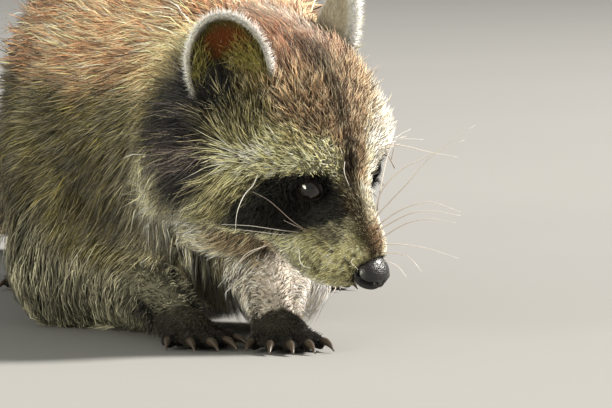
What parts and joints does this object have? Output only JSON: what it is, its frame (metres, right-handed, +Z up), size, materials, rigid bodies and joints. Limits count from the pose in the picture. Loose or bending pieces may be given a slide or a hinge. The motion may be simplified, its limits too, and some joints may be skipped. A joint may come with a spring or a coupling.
{
  "type": "raccoon",
  "caption": "Life-size raccoon crouched low on all fours, head turned to its left and lowered to sniff, ringed tail trailing behind; a still museum-style figure that stands on its own feet.",
  "frame": {"origin": "On the floor under the middle of the whole outline.", "axes": "+X along the floor from the tail tip towards the nose, +Z up, +Y to the animal's left. The trunk itself points 24 degrees to the right of +X."},
  "size_m": [0.7522, 0.2856, 0.22],
  "materials": {
    "body_coat": "thick grizzled fur, dark at the roots, tan and cream at the tips",
    "tail_coat": "bushy fur in tan and near-black rings",
    "face_coat": "short fur with a black mask, cream brows, muzzle and cheeks",
    "ear_coat": "short velvety fur with a white rim",
    "leg_coat": "shaggy grey-brown fur, shorter and darker towards the feet",
    "foot_coat": "very short dark hair over bare skin",
    "nose_leather": "moist black pebbled skin",
    "eye": "wet, very dark brown, clear glossy surface",
    "claw": "smooth dark horn"
  },
  "bodies": {
    "root": {"trunk": "body_coat", "neck": "body_coat", "tail": "tail_coat", "head": "face_coat", "nose": "nose_leather", "ear_left": "ear_coat", "ear_right": "ear_coat", "eye_left": "eye", "eye_right": "eye", "foreleg_left": "leg_coat", "foreleg_right": "leg_coat", "hindleg_left": "leg_coat", "hindleg_right": "leg_coat", "forefoot_left": "foot_coat", "forefoot_right": "foot_coat", "hindfoot_left": "foot_coat", "hindfoot_right": "foot_coat", "fore_claw_left_1": "claw", "fore_claw_left_2": "claw", "fore_claw_left_3": "claw", "fore_claw_left_4": "claw", "fore_claw_left_5": "claw", "fore_claw_right_1": "claw", "fore_claw_right_2": "claw", "fore_claw_right_3": "claw", "fore_claw_right_4": "claw", "fore_claw_right_5": "claw", "hind_claw_left_1": "claw", "hind_claw_left_2": "claw", "hind_claw_left_3": "claw", "hind_claw_left_4": "claw", "hind_claw_left_5": "claw", "hind_claw_right_1": "claw", "hind_claw_right_2": "claw", "hind_claw_right_3": "claw", "hind_claw_right_4": "claw", "hind_claw_right_5": "claw"}
  },
  "joints": []
}
